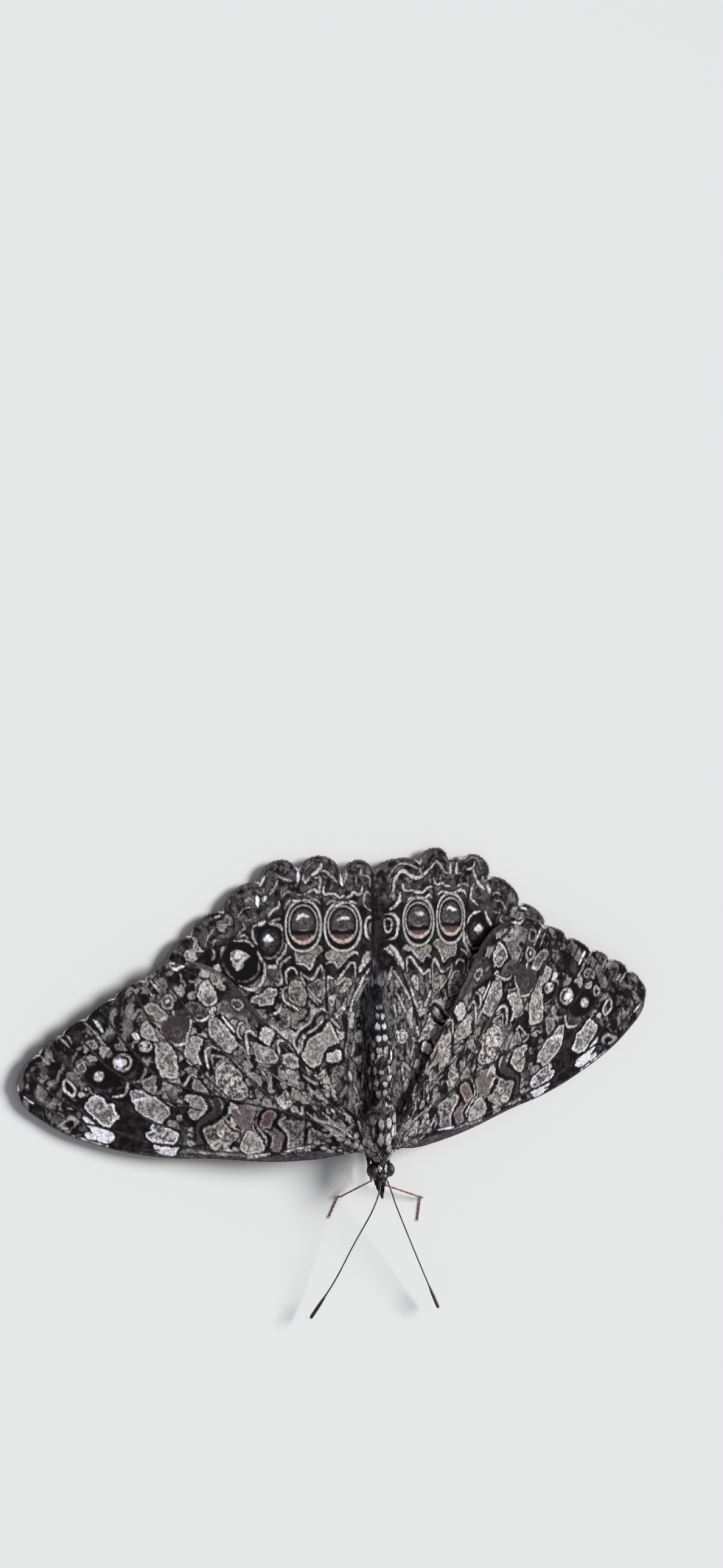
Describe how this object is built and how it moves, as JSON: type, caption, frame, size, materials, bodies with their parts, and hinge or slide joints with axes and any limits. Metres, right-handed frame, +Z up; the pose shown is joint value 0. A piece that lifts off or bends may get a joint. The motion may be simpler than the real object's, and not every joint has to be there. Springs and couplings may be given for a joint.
{
  "type": "gray cracker butterfly model",
  "caption": "Gray cracker butterfly sitting with its patterned wings spread flat, a still life-size model that rests on its feet.",
  "frame": {"origin": "on the level that the feet stand on, under the middle of the whole insect's box", "axes": "+Z up, away from the surface that the insect sits on; -Y towards the head; +X towards the insect's left side"},
  "size_m": [0.078, 0.0546, 0.0066],
  "materials": {
    "wing_scales": "matte powdery scales, dark brown-grey with pale grey and bluish white marks",
    "body_fur": "short dark grey hair with pale grey marks",
    "eye": "dark, glossy and finely faceted",
    "leg": "reddish brown, thinly scaled",
    "antenna": "dark brown, satin"
  },
  "bodies": {
    "root": {"thorax": "body_fur", "abdomen": "body_fur", "neck": "body_fur", "head": "body_fur", "eye_left": "eye", "eye_right": "eye", "palpus_left": "body_fur", "palpus_right": "body_fur", "antenna_left": "antenna", "antenna_right": "antenna", "tegula_left": "body_fur", "tegula_right": "body_fur", "forewing_left": "wing_scales", "forewing_right": "wing_scales", "hindwing_left": "wing_scales", "hindwing_right": "wing_scales", "foreleg_left": "leg", "foreleg_right": "leg", "midleg_femur_left": "leg", "midleg_femur_right": "leg", "midleg_tibia_left": "leg", "midleg_tibia_right": "leg", "midleg_tarsus_left": "leg", "midleg_tarsus_right": "leg", "hindleg_femur_left": "leg", "hindleg_femur_right": "leg", "hindleg_tibia_left": "leg", "hindleg_tibia_right": "leg", "hindleg_tarsus_left": "leg", "hindleg_tarsus_right": "leg"}
  },
  "joints": []
}
